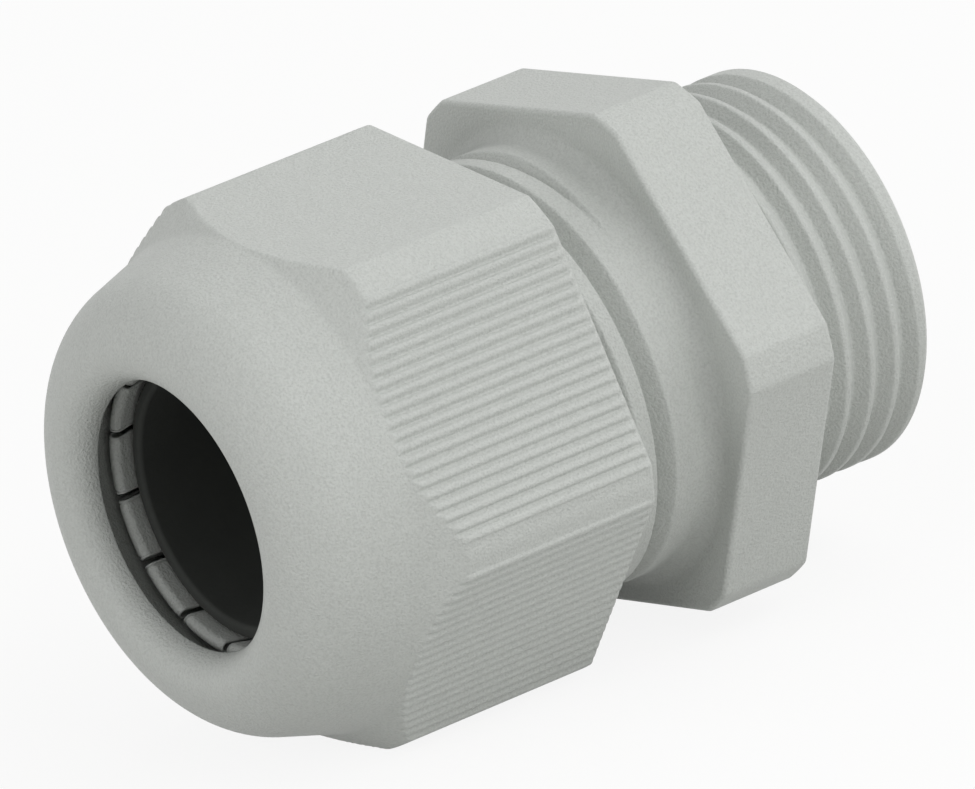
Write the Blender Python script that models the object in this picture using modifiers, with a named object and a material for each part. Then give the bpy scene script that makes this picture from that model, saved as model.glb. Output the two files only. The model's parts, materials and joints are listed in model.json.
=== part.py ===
"""Cable gland for an M20 x 1.5 entry: body, clamping fingers, rubber seal and dome nut.

Every turned piece is drawn on one axis. Heights run along it from the collar's sealing face
towards the dome, and angles start at the top of the lying gland. The whole assembly is then
laid down, so that the connection thread points along +X and the dome along -X.
"""
import math

import bmesh
import bpy
from mathutils import Matrix

MM = 0.001
OBJECT_NAME = "cable_gland"

# Hexagons, in millimetres and degrees: the two are turned a little against each other
HEX_SIDES = 6
ACROSS_FLATS = 25.0
HEX_TURN = 6.75
COLLAR_FLAT_ANGLE = HEX_TURN
NUT_FLAT_ANGLE = -HEX_TURN

# Gland body
THREAD_RADIUS = 10.0
THREAD_LENGTH = 8.65
THREAD_LEAD_IN = 0.3
COLLAR_HEIGHT = 5.2
COLLAR_CORNER_RADIUS = 13.95
COLLAR_CORNER_BREAK = 0.25
NECK_RADIUS = 10.9
NECK_FILLET = 1.3
CLAMP_THREAD_END = 16.75
BODY_FRONT = 17.45
BODY_BORE = 7.3
BORE_BREAK = 0.6
SEAL_SEAT_RADIUS = 8.75
SEAL_SEAT_HEIGHT = 13.75

# Clamping fingers, moulded on the body's front ring and flexing there
FINGER_COUNT = 14
FINGER_TURN = -5.0
SLIT_WIDTH = 0.45
PIECE_GAP = 0.3
FINGER_ROOT = BODY_FRONT + PIECE_GAP
FINGER_ROOT_OUTER = 10.1
FINGER_ROOT_INNER = 9.0
FINGER_HINGE_RADIUS = 0.5 * (FINGER_ROOT_OUTER + FINGER_ROOT_INNER)
FINGER_NECK_RADIUS = 9.75
FINGER_NECK_HEIGHT = 18.45
FINGER_SHOULDER_RADIUS = 10.0
FINGER_SHOULDER_HEIGHT = 19.05
FINGER_TIP = 27.45
FINGER_TIP_OUTER = 7.8
FINGER_TIP_INNER = 7.1
FINGER_TIP_BREAK = 0.35

# Rubber sealing insert
SEAL_REAR = 14.05
SEAL_FRONT = 26.5
SEAL_REAR_RADIUS = 8.45
SEAL_TAPER_START = 17.25
SEAL_FRONT_RADIUS = 6.95
SEAL_BORE = 6.3
SEAL_EDGE = 0.25

# Dome nut
NUT_REAR = 11.4
NUT_CORNER_BREAK = 0.3
HEX_FRONT = 22.55
NUT_CORNER_RADIUS = 13.9
SHOULDER_HEIGHT = 24.15
SHOULDER_RADIUS = 12.45
DOME_CENTRE_HEIGHT = 26.0
DOME_CENTRE_RADIUS = 7.55
DOME_RADIUS = 4.15
DOME_END_ANGLE = 75.0
LIP_RADIUS = 1.5
HOLE_RADIUS = 6.8
NUT_BORE = 11.2
NUT_BORE_BREAK = 0.5
CONE_WIDE_HEIGHT = 20.75
CONE_NARROW_HEIGHT = 28.6
CONE_NARROW_RADIUS = 7.55

# Grip ribs: the V-grooves between them run along the axis on four of the nut's six flats
RIBBED_FLATS = (1, 2, 4, 5)
GROOVE_COUNT = 19
GROOVE_PITCH = 0.633
GROOVE_DEPTH = 0.28
GROOVE_CUTTER_RADIUS = 0.35
GROOVE_FRONT = 25.25
GROOVE_OVERRUN = 0.5

# Milling blocks: a little narrower than a hexagon's side, so that they stay apart
FLAT_BLOCK_DEPTH = 4.0
FLAT_BLOCK_WIDTH = 14.0
FLAT_BLOCK_OVERRUN = 1.0
SLIT_BLOCK_SIZE = 60.0

# Facets round the axis: a multiple of the six flats and of the fourteen fingers
TURN_STEPS = 84
ARC_STEPS = 7
LIP_STEPS = 7
SHARP_ANGLE = 22.0

GREY_POLYAMIDE = (0.485, 0.499, 0.474, 1.0)
POLYAMIDE_ROUGHNESS = 0.55
BLACK_RUBBER = (0.012, 0.013, 0.012, 1.0)
RUBBER_ROUGHNESS = 0.7


def clear_scene():
    """Remove every object that the scene starts with."""
    for item in list(bpy.data.objects):
        bpy.data.objects.remove(item, do_unlink=True)


def new_collection(name):
    """Return a new collection linked to the scene."""
    collection = bpy.data.collections.new(name)
    bpy.context.scene.collection.children.link(collection)
    return collection


def plastic(name, colour, roughness):
    """Return a non-metallic material of one colour."""
    material = bpy.data.materials.new(name)
    material.use_nodes = True
    shader = material.node_tree.nodes["Principled BSDF"]
    shader.inputs["Base Color"].default_value = colour
    shader.inputs["Roughness"].default_value = roughness
    shader.inputs["Metallic"].default_value = 0.0
    return material


def arc(centre_radius, centre_height, radius, start, end, steps=ARC_STEPS):
    """Return profile points on an arc, with angles in degrees from the axis direction."""
    points = []
    for step in range(steps + 1):
        angle = math.radians(start + (end - start) * step / steps)
        points.append((centre_radius + radius * math.sin(angle),
                       centre_height + radius * math.cos(angle)))
    return points


def mesh_object(name, mesh, collection):
    """Return a new object that holds the mesh, in the collection."""
    item = bpy.data.objects.new(name, mesh)
    collection.objects.link(item)
    return item


def turned(name, profile, collection):
    """Return a ring turned from a closed profile of (radius, height) points.

    The profile runs down the ring's outer side and back up its inner side.
    """
    mesh = bpy.data.meshes.new(name)
    vertices = [(radius * MM, 0.0, height * MM) for radius, height in profile]
    count = len(vertices)
    edges = [(index, (index + 1) % count) for index in range(count)]
    mesh.from_pydata(vertices, edges, [])
    item = mesh_object(name, mesh, collection)
    screw = item.modifiers.new("Turn", "SCREW")
    screw.axis = "Z"
    screw.steps = TURN_STEPS
    screw.render_steps = TURN_STEPS
    screw.use_merge_vertices = True
    screw.merge_threshold = 0.00001
    screw.use_smooth_shade = False
    return item


def cutter_object(name, mesh, collection):
    """Return a hidden object that only cuts others."""
    item = mesh_object(name, mesh, collection)
    item.hide_render = True
    item.display_type = "WIRE"
    return item


def cut(item, cutter):
    """Subtract the cutter from the item."""
    boolean = item.modifiers.new(cutter.name, "BOOLEAN")
    boolean.operation = "DIFFERENCE"
    boolean.solver = "EXACT"
    boolean.object = cutter


def finished_mesh(item):
    """Return the item's mesh with its cuts made, smooth but for its sharp edges."""
    graph = bpy.context.evaluated_depsgraph_get()
    mesh = bpy.data.meshes.new_from_object(item.evaluated_get(graph))
    mesh.shade_smooth()
    mesh.set_sharp_from_angle(angle=math.radians(SHARP_ANGLE))
    return mesh


def finish(item, material):
    """Give the item its finished mesh and its material."""
    mesh = finished_mesh(item)
    mesh.name = item.name
    item.modifiers.clear()
    item.data = mesh
    mesh.materials.clear()
    mesh.materials.append(material)


def around_axis(angle):
    """Return the turn about the axis by an angle in degrees."""
    return Matrix.Rotation(math.radians(angle), 4, "Z")


def flat_turn(first_angle, flat):
    """Return the turn that brings +X to the middle of one of a hexagon's flats."""
    return around_axis(first_angle - 360.0 / HEX_SIDES * flat)


def box_matrix(size, centre):
    """Return the matrix that makes a unit cube the given box, in millimetres."""
    scale = Matrix.Diagonal((size[0] * MM, size[1] * MM, size[2] * MM, 1.0))
    return Matrix.Translation([value * MM for value in centre]) @ scale


def flats_cutter(name, first_angle, bottom, top, collection):
    """Return six blocks that mill the hexagon's flats between two heights."""
    size = (FLAT_BLOCK_DEPTH, FLAT_BLOCK_WIDTH, top - bottom)
    centre = (0.5 * (ACROSS_FLATS + FLAT_BLOCK_DEPTH), 0.0, 0.5 * (bottom + top))
    shape = bmesh.new()
    for flat in range(HEX_SIDES):
        place = flat_turn(first_angle, flat) @ box_matrix(size, centre)
        bmesh.ops.create_cube(shape, size=1.0, matrix=place)
    mesh = bpy.data.meshes.new(name)
    shape.to_mesh(mesh)
    shape.free()
    return cutter_object(name, mesh, collection)


def grooves_cutter(name, collection):
    """Return the three-sided bars that cut the grooves between the nut's grip ribs."""
    rear = NUT_REAR - GROOVE_OVERRUN
    length = GROOVE_FRONT - rear
    middle = 0.5 * (GROOVE_FRONT + rear)
    radius = 0.5 * ACROSS_FLATS - GROOVE_DEPTH + GROOVE_CUTTER_RADIUS
    shape = bmesh.new()
    for flat in RIBBED_FLATS:
        for index in range(GROOVE_COUNT):
            aside = (index - 0.5 * (GROOVE_COUNT - 1)) * GROOVE_PITCH
            place = Matrix.Translation((radius * MM, aside * MM, middle * MM))
            place = flat_turn(NUT_FLAT_ANGLE, flat) @ place
            # The bar's first edge points at +Y, so a quarter turn points it at the axis
            place = place @ Matrix.Rotation(math.radians(90.0), 4, "Z")
            bmesh.ops.create_cone(shape, cap_ends=True, segments=3,
                                  radius1=GROOVE_CUTTER_RADIUS * MM,
                                  radius2=GROOVE_CUTTER_RADIUS * MM,
                                  depth=length * MM, matrix=place)
    mesh = bpy.data.meshes.new(name)
    shape.to_mesh(mesh)
    shape.free()
    return cutter_object(name, mesh, collection)


def make_body(parts, cutters):
    """Return the gland body: connection thread, hexagon collar, neck and clamping thread."""
    edge = COLLAR_CORNER_RADIUS - COLLAR_CORNER_BREAK
    lead_in = THREAD_RADIUS - THREAD_LEAD_IN
    clamp_lead = BODY_FRONT - CLAMP_THREAD_END
    profile = [(NECK_RADIUS - clamp_lead, BODY_FRONT),
               (NECK_RADIUS, CLAMP_THREAD_END)]
    profile += arc(NECK_RADIUS + NECK_FILLET, COLLAR_HEIGHT + NECK_FILLET, NECK_FILLET, 270.0, 180.0)
    profile += [(edge, COLLAR_HEIGHT),
                (COLLAR_CORNER_RADIUS, COLLAR_HEIGHT - COLLAR_CORNER_BREAK),
                (COLLAR_CORNER_RADIUS, COLLAR_CORNER_BREAK),
                (edge, 0.0),
                (THREAD_RADIUS, 0.0),
                (THREAD_RADIUS, THREAD_LEAD_IN - THREAD_LENGTH),
                (lead_in, -THREAD_LENGTH),
                (BODY_BORE + BORE_BREAK, -THREAD_LENGTH),
                (BODY_BORE, BORE_BREAK - THREAD_LENGTH),
                (BODY_BORE, SEAL_SEAT_HEIGHT),
                (SEAL_SEAT_RADIUS, SEAL_SEAT_HEIGHT),
                (SEAL_SEAT_RADIUS, BODY_FRONT)]
    body = turned("gland_body", profile, parts)
    cut(body, flats_cutter("collar_flats", COLLAR_FLAT_ANGLE, -FLAT_BLOCK_OVERRUN,
                           COLLAR_HEIGHT + FLAT_BLOCK_OVERRUN, cutters))
    return body


def make_nut(parts, cutters):
    """Return the dome nut: six milled flats, grip ribs, a dome and a hollow cone."""
    # The lip's round touches the dome's from within, at the angle where both slope alike
    lip_centre_radius = HOLE_RADIUS + LIP_RADIUS
    spread = DOME_RADIUS - LIP_RADIUS
    meeting = math.asin((lip_centre_radius - DOME_CENTRE_RADIUS) / spread)
    lip_centre_height = DOME_CENTRE_HEIGHT + spread * math.cos(meeting)
    meeting = math.degrees(meeting)
    dome = arc(DOME_CENTRE_RADIUS, DOME_CENTRE_HEIGHT, DOME_RADIUS, meeting, DOME_END_ANGLE)
    lip = arc(lip_centre_radius, lip_centre_height, LIP_RADIUS, -90.0, meeting, LIP_STEPS)
    profile = dome + [(SHOULDER_RADIUS, SHOULDER_HEIGHT),
                      (NUT_CORNER_RADIUS, HEX_FRONT),
                      (NUT_CORNER_RADIUS, NUT_REAR + NUT_CORNER_BREAK),
                      (NUT_CORNER_RADIUS - NUT_CORNER_BREAK, NUT_REAR),
                      (NUT_BORE + NUT_BORE_BREAK, NUT_REAR),
                      (NUT_BORE, NUT_REAR + NUT_BORE_BREAK),
                      (NUT_BORE, CONE_WIDE_HEIGHT),
                      (CONE_NARROW_RADIUS, CONE_NARROW_HEIGHT)]
    # The lip's last point is the dome's first one
    profile += lip[:-1]
    nut = turned("dome_nut", profile, parts)
    cut(nut, flats_cutter("nut_flats", NUT_FLAT_ANGLE, NUT_REAR - FLAT_BLOCK_OVERRUN,
                          lip_centre_height + LIP_RADIUS + FLAT_BLOCK_OVERRUN, cutters))
    cut(nut, grooves_cutter("rib_grooves", cutters))
    return nut


def make_seal(parts):
    """Return the rubber sealing insert, a tapered sleeve between the fingers and the cable."""
    profile = [(SEAL_FRONT_RADIUS - SEAL_EDGE, SEAL_FRONT),
               (SEAL_FRONT_RADIUS, SEAL_FRONT - SEAL_EDGE),
               (SEAL_REAR_RADIUS, SEAL_TAPER_START),
               (SEAL_REAR_RADIUS, SEAL_REAR),
               (SEAL_BORE + SEAL_EDGE, SEAL_REAR),
               (SEAL_BORE, SEAL_REAR + SEAL_EDGE),
               (SEAL_BORE, SEAL_FRONT - SEAL_EDGE),
               (SEAL_BORE + SEAL_EDGE, SEAL_FRONT)]
    return turned("sealing_insert", profile, parts)


def finger_blank(cutters):
    """Return the ring that the fingers are slit from, as a hidden guide."""
    profile = [(0.5 * (FINGER_TIP_OUTER + FINGER_TIP_INNER), FINGER_TIP),
               (FINGER_TIP_OUTER, FINGER_TIP - FINGER_TIP_BREAK),
               (FINGER_SHOULDER_RADIUS, FINGER_SHOULDER_HEIGHT),
               (FINGER_NECK_RADIUS, FINGER_NECK_HEIGHT),
               (FINGER_ROOT_OUTER, FINGER_ROOT),
               (FINGER_ROOT_INNER, FINGER_ROOT),
               (FINGER_TIP_INNER, FINGER_TIP - FINGER_TIP_BREAK)]
    blank = turned("finger_ring", profile, cutters)
    blank.hide_render = True
    blank.display_type = "WIRE"
    return blank


def slit_walls_cutter(name, collection):
    """Return two blocks that leave one finger, standing on +X, of the whole ring."""
    size = SLIT_BLOCK_SIZE
    half_step = 180.0 / FINGER_COUNT
    shape = bmesh.new()
    for side in (-1.0, 1.0):
        aside = side * 0.5 * (size - SLIT_WIDTH)
        place = box_matrix((size, size, size), (0.0, aside, FINGER_TIP))
        place = around_axis(side * half_step) @ place
        bmesh.ops.create_cube(shape, size=1.0, matrix=place)
    mesh = bpy.data.meshes.new(name)
    shape.to_mesh(mesh)
    shape.free()
    return cutter_object(name, mesh, collection)


def finger_mesh(cutters):
    """Return one finger's mesh, with its origin on the finger's hinge line."""
    blank = finger_blank(cutters)
    cut(blank, slit_walls_cutter("slit_walls", cutters))
    blank.modifiers[-1].use_self = True
    mesh = finished_mesh(blank)
    mesh.name = "clamp_finger"
    mesh.transform(Matrix.Translation((-FINGER_HINGE_RADIUS * MM, 0.0, -FINGER_ROOT * MM)))
    return mesh


def make_fingers(parts, cutters, material):
    """Return the ring of fingers, each with its origin on its own hinge line."""
    mesh = finger_mesh(cutters)
    mesh.materials.append(material)
    step = 360.0 / FINGER_COUNT
    fingers = []
    for index in range(FINGER_COUNT):
        angle = math.radians((index + 0.5) * step + FINGER_TURN)
        finger = mesh_object(f"clamp_finger_{index + 1:02d}", mesh, parts)
        finger.location = (FINGER_HINGE_RADIUS * math.cos(angle) * MM,
                           FINGER_HINGE_RADIUS * math.sin(angle) * MM,
                           FINGER_ROOT * MM)
        finger.rotation_euler = (0.0, 0.0, angle)
        fingers.append(finger)
    return fingers


def lay_down(items, parts):
    """Parent the items to an empty that lays the axis along X, with the dome at -X."""
    axis = bpy.data.objects.new("gland_axis", None)
    parts.objects.link(axis)
    axis.rotation_euler = (0.0, math.radians(-90.0), 0.0)
    for item in items:
        item.parent = axis


def main():
    """Build the gland."""
    clear_scene()
    parts = new_collection(OBJECT_NAME)
    cutters = new_collection("cutters")
    polyamide = plastic("grey_polyamide", GREY_POLYAMIDE, POLYAMIDE_ROUGHNESS)
    rubber = plastic("black_rubber", BLACK_RUBBER, RUBBER_ROUGHNESS)
    body = make_body(parts, cutters)
    nut = make_nut(parts, cutters)
    seal = make_seal(parts)
    fingers = make_fingers(parts, cutters, polyamide)
    finish(body, polyamide)
    finish(nut, polyamide)
    finish(seal, rubber)
    lay_down([body, nut, seal] + fingers + list(cutters.objects), parts)
    bpy.context.view_layer.update()


main()
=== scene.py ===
"""Dressed scene of a lying cable gland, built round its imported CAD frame.

Every turned piece is drawn in one cylinder frame. Heights run along the gland's axis from the
collar's sealing face towards the dome, radii are measured from that axis, and angles start at
the top and run towards +Y. Sizes are in millimetres where nothing else is said.
"""
from __future__ import annotations

import json
import logging
import math
from collections.abc import Sequence
from dataclasses import dataclass, field
from enum import Enum

import bpy
import numpy as np
from mathutils import Matrix, Vector

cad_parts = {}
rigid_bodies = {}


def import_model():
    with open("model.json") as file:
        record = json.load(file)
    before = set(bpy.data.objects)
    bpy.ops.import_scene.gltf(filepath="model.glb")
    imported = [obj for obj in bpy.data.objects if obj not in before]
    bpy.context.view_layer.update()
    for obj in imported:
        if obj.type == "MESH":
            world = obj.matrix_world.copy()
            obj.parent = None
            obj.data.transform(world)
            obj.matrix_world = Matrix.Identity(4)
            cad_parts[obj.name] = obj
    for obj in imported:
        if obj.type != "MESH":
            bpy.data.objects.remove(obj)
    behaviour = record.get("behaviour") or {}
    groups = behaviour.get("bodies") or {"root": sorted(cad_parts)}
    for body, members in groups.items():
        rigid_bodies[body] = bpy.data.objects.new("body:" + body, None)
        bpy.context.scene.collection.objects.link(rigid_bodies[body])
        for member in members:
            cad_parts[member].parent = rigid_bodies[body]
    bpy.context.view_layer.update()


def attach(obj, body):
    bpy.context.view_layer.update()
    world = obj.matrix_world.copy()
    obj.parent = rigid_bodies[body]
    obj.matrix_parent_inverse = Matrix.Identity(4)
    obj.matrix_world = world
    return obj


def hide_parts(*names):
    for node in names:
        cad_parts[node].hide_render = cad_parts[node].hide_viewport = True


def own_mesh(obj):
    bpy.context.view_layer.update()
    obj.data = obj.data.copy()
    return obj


MM = 0.001
FRAME_WIDTH = 975
HEX_SIDES = 6
FLAT_STEP = 360.0 / HEX_SIDES
WHITE = (1.0, 1.0, 1.0, 1.0)
# Blender's names of the node types that come up most
MATH = "ShaderNodeMath"
VECTOR_MATH = "ShaderNodeVectorMath"
MAP_RANGE = "ShaderNodeMapRange"
MIX = "ShaderNodeMix"
NOISE = "ShaderNodeTexNoise"
MASK_READER = "GeometryNodeInputNamedAttribute"
LOG = logging.getLogger("cable_gland")

Point = tuple[float, float]


class Slot(Enum):
    """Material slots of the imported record."""

    POLYAMIDE = "polyamide"
    RUBBER = "rubber"


class Mask(Enum):
    """Vertex attributes that the shaping trees read.

    BLANK is the turned radius before milling, in metres. Each other one is the share of a tree's
    work that is done at the vertex.
    """

    BLANK = "blank"
    MILL = "mill"
    GRIP = "grip"
    CONNECTION_THREAD = "connection_thread"
    CLAMPING_THREAD = "clamping_thread"


def linear_colour(code: str) -> tuple[float, float, float, float]:
    """Turn an sRGB hex colour into linear values.

    Args:
        code: Colour as "#RRGGBB".

    Returns:
        Linear red, green and blue, and an alpha of 1.
    """
    values = [int(code[place:place + 2], 16) / 255.0 for place in (1, 3, 5)]
    linear = [v / 12.92 if v <= 0.04045 else ((v + 0.055) / 1.055) ** 2.4 for v in values]
    return (linear[0], linear[1], linear[2], 1.0)


def add_node(tree: bpy.types.NodeTree, kind: str, inputs: dict | None = None,
             **settings: object) -> bpy.types.Node:
    """Add a node with its settings, values and links.

    Args:
        tree: Node tree that gets the node.
        kind: Blender's name of the node type.
        inputs: Values, nodes or output sockets by input name or number. A node stands for
            its first output.
        settings: Properties of the node itself.

    Returns:
        The new node.
    """
    node = tree.nodes.new(kind)
    for name, value in settings.items():
        setattr(node, name, value)
    for key, value in (inputs or {}).items():
        if isinstance(value, bpy.types.Node):
            value = value.outputs[0]
        if isinstance(value, bpy.types.NodeSocket):
            tree.links.new(value, node.inputs[key])
        else:
            node.inputs[key].default_value = value
    return node


def smooth_step(low: float, high: float, value: float) -> float:
    """Return 0 below low, 1 above high and a smooth rise between them."""
    share = min(max((value - low) / (high - low), 0.0), 1.0)
    return share * share * (3.0 - 2.0 * share)


@dataclass(frozen=True)
class Corner:
    """A corner of a turned profile, in millimetres.

    Attributes:
        radius: Distance from the axis.
        height: Height along the axis.
        fillet: Radius that rounds the corner.
        step: Largest distance between rings on the stretch after the corner, 0 for no limit.
    """

    radius: float
    height: float
    fillet: float = 0.0
    step: float = 0.0


@dataclass(frozen=True)
class Ring:
    """One ring of a turned skin, with what the shaping trees do to it.

    Attributes:
        radius: Turned radius in millimetres.
        height: Height along the axis in millimetres.
        masks: Value of each shaping mask on the ring.
    """

    radius: float
    height: float
    masks: dict[Mask, float] = field(default_factory=dict)


class Profile:
    """A turned profile: straight stretches between rounded corners.

    ARC_DEGREES is the largest turn in one step of a fillet, and ARC_LEAST the fewest steps of
    one. A plain stretch that is longer than SHORT has a ring close to each end, at a distance of
    SUPPORT, which keeps its shading flat.
    """

    ARC_DEGREES = 9.0
    ARC_LEAST = 4
    SUPPORT = 0.08
    SHORT = 0.32

    def __init__(self, corners: Sequence[Corner]) -> None:
        """Keep the corners, from the first ring to the last."""
        self.corners = list(corners)

    def points(self) -> list[Point]:
        """Find where the rings are.

        Returns:
            The (radius, height) points of all rings along the profile.
        """
        stretches = [[(c.radius, c.height)] if not c.fillet else self._arc(i)
                     for i, c in enumerate(self.corners)]
        points: list[Point] = []
        for corner, this, following in zip(self.corners, stretches, stretches[1:]):
            points += this
            points += self._between(this[-1], following[0], corner.step)
        return points + stretches[-1]

    def _arc(self, index: int) -> list[Point]:
        """Round one corner.

        Args:
            index: Number of the corner, which is neither the first nor the last.

        Returns:
            The points of its fillet.
        """
        corner = self.corners[index]
        here = Vector((corner.radius, corner.height))
        before = self.corners[index - 1]
        after = self.corners[index + 1]
        back = (Vector((before.radius, before.height)) - here).normalized()
        ahead = (Vector((after.radius, after.height)) - here).normalized()
        half = 0.5 * back.angle(ahead)
        centre = here + (back + ahead).normalized() * (corner.fillet / math.sin(half))
        start = here + back * (corner.fillet / math.tan(half)) - centre
        end = here + ahead * (corner.fillet / math.tan(half)) - centre
        turn = math.pi - 2.0 * half
        count = max(self.ARC_LEAST, math.ceil(math.degrees(turn) / self.ARC_DEGREES))
        points = []
        for step in range(count + 1):
            share = step / count
            spoke = (start * math.sin((1.0 - share) * turn) + end * math.sin(share * turn))
            point = centre + spoke / math.sin(turn)
            points.append((point.x, point.y))
        return points

    def _between(self, start: Point, end: Point, step: float) -> list[Point]:
        """Return the points inside a straight stretch.

        Args:
            start: First point of the stretch.
            end: Last point of the stretch.
            step: Largest distance between points, or 0 for one support at each end.

        Returns:
            The points between the two ends.
        """
        length = math.dist(start, end)
        if step:
            count = math.ceil(length / step)
            shares = [place / count for place in range(1, count)]
        elif length > self.SHORT:
            shares = [self.SUPPORT / length, 1.0 - self.SUPPORT / length]
        else:
            shares = []
        return [(start[0] + (end[0] - start[0]) * share, start[1] + (end[1] - start[1]) * share)
                for share in shares]


@dataclass
class Skin:
    """A closed turned surface, made of bands of rings with their own columns.

    Attributes:
        bands: Rings of each band and the angles of its columns, in radians from 0 upwards.
    """

    bands: list[tuple[list[Ring], np.ndarray]]

    def mesh(self, name: str) -> bpy.types.Mesh:
        """Make the surface, with its axis along -X and its masks as attributes.

        Args:
            name: Name of the mesh.

        Returns:
            The mesh in metres.
        """
        places, faces, offset = [], [], 0
        loops: list[tuple[list[int], list[int], np.ndarray]] = []
        for rings, angles in self.bands:
            radius = np.array([ring.radius for ring in rings])[:, None]
            height = np.array([ring.height for ring in rings])[:, None]
            place = np.stack([-height * np.ones_like(angles), radius * np.sin(angles),
                              radius * np.cos(angles)], axis=-1)
            places.append(place.reshape(-1, 3))
            number = offset + np.arange(len(rings) * len(angles)).reshape(len(rings), -1)
            following = np.roll(number, -1, axis=1)
            faces += np.stack([number[:-1], following[:-1], following[1:], number[1:]],
                              axis=-1).reshape(-1, 4).tolist()
            loops.append((number[0].tolist(), number[-1].tolist(), angles))
            offset += number.size
        for this, other in zip(loops, loops[1:] + loops[:1]):
            faces += self._zip(this[1], this[2], other[0], other[2])
        mesh = bpy.data.meshes.new(name)
        mesh.from_pydata((np.concatenate(places) * MM).tolist(), [], faces)
        for mask in Mask:
            values = [np.repeat([ring.masks.get(mask, 0.0) for ring in rings], len(angles))
                      for rings, angles in self.bands]
            layer = mesh.attributes.new(mask.value, "FLOAT", "POINT")
            layer.data.foreach_set("value", np.concatenate(values).astype(np.float32))
        mesh.shade_smooth()
        return mesh

    @staticmethod
    def _zip(first: list[int], first_angles: np.ndarray, second: list[int],
             second_angles: np.ndarray) -> list[tuple[int, ...]]:
        """Join two rings of vertices that may have different columns.

        Args:
            first: Vertices of the ring that comes first along the profile.
            first_angles: Their angles.
            second: Vertices of the next ring.
            second_angles: Their angles.

        Returns:
            Faces that close the gap between the rings.
        """
        if len(first) == len(second):
            return list(zip(first, first[1:] + first[:1], second[1:] + second[:1], second))
        ends = [np.append(angles[1:], angles[0] + math.tau)
                for angles in (first_angles, second_angles)]
        faces, here, there = [], 0, 0
        while here < len(first) or there < len(second):
            low = first[here % len(first)]
            high = second[there % len(second)]
            if there == len(second) or (here < len(first) and ends[0][here] <= ends[1][there]):
                here += 1
                faces.append((low, first[here % len(first)], high))
            else:
                there += 1
                faces.append((low, second[there % len(second)], high))
        return faces


def even_columns(count: int) -> np.ndarray:
    """Return evenly spaced angles round the axis."""
    return np.arange(count) * math.tau / count


def new_object(name: str, data: bpy.types.ID) -> bpy.types.Object:
    """Make an object and link it to the scene.

    Args:
        name: Name of the object.
        data: Its mesh, lamp or camera.

    Returns:
        The new object.
    """
    item = bpy.data.objects.new(name, data)
    bpy.context.scene.collection.objects.link(item)
    return item


def settle(item: bpy.types.Object) -> bpy.types.Object:
    """Turn an object's modifiers into a plain mesh without shaping masks.

    Args:
        item: Object with live modifiers.

    Returns:
        The same object, with its final mesh.
    """
    bpy.context.view_layer.update()
    graph = bpy.context.evaluated_depsgraph_get()
    mesh = bpy.data.meshes.new_from_object(item.evaluated_get(graph))
    mesh.name = item.name
    item.modifiers.clear()
    item.data = mesh
    for mask in Mask:
        layer = mesh.attributes.get(mask.value)
        if layer:
            mesh.attributes.remove(layer)
    mesh.shade_smooth()
    return item


def set_on_node(item: bpy.types.Object, node: str, slot: Slot) -> None:
    """Set a piece on the body that is named for its CAD node, in place of that node.

    Args:
        item: Finished piece.
        node: Name of the CAD node and of its body.
        slot: Material slot of the piece; not used.
    """
    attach(item, node)
    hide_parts(node)


class ShapingTree:
    """A Geometry Nodes tree with named inputs, put on a piece as a modifier."""

    def __init__(self, name: str, numbers: Sequence[str], texts: Sequence[str] = ()) -> None:
        """Start the tree.

        Args:
            name: Name of the tree.
            numbers: Names of the inputs that take a number.
            texts: Names of the inputs that take a text.
        """
        self.tree = bpy.data.node_groups.new(name, "GeometryNodeTree")
        self.tree.is_modifier = True
        self.identifiers: dict[str, str] = {}
        sockets = {"Geometry": "NodeSocketGeometry", **dict.fromkeys(texts, "NodeSocketString"),
                   **dict.fromkeys(numbers, "NodeSocketFloat"), "Material": "NodeSocketMaterial"}
        for label, kind in sockets.items():
            socket = self.tree.interface.new_socket(label, in_out="INPUT", socket_type=kind)
            self.identifiers[label] = socket.identifier
        self.tree.interface.new_socket("Geometry", in_out="OUTPUT",
                                       socket_type="NodeSocketGeometry")
        self.given = add_node(self.tree, "NodeGroupInput").outputs
        self.place = add_node(self.tree, "GeometryNodeInputPosition")
        self.parts = add_node(self.tree, "ShaderNodeSeparateXYZ", {0: self.place}).outputs
        self.angle = add_node(self.tree, MATH, {0: self.parts["Y"], 1: self.parts["Z"]},
                              operation="ARCTAN2")

    def push_out(self, distance: bpy.types.Node) -> None:
        """Move each vertex away from the axis and end the tree.

        Args:
            distance: Node that gives the distance in metres.
        """
        tree = self.tree
        spoke = add_node(tree, VECTOR_MATH, {0: self.place, 1: (0.0, 1.0, 1.0)},
                         operation="MULTIPLY")
        outward = add_node(tree, VECTOR_MATH, {0: spoke}, operation="NORMALIZE")
        offset = add_node(tree, VECTOR_MATH, {0: outward, "Scale": distance}, operation="SCALE")
        self.end_with(add_node(tree, "GeometryNodeSetPosition",
                               {"Geometry": self.given["Geometry"], "Offset": offset}))

    def end_with(self, geometry: bpy.types.Node) -> None:
        """End the tree in Realize Instances and Set Material.

        Args:
            geometry: Node that gives the shaped geometry.
        """
        whole = add_node(self.tree, "GeometryNodeRealizeInstances", {0: geometry})
        painted = add_node(self.tree, "GeometryNodeSetMaterial",
                           {"Geometry": whole, "Material": self.given["Material"]})
        add_node(self.tree, "NodeGroupOutput", {"Geometry": painted})

    def put_on(self, item: bpy.types.Object, values: dict[str, object]) -> None:
        """Put the tree on an object as a modifier.

        Args:
            item: Object that gets the modifier.
            values: Value of each named input.
        """
        modifier = item.modifiers.new(self.tree.name, "NODES")
        modifier.node_group = self.tree
        for label, value in values.items():
            modifier[self.identifiers[label]] = value


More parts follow.
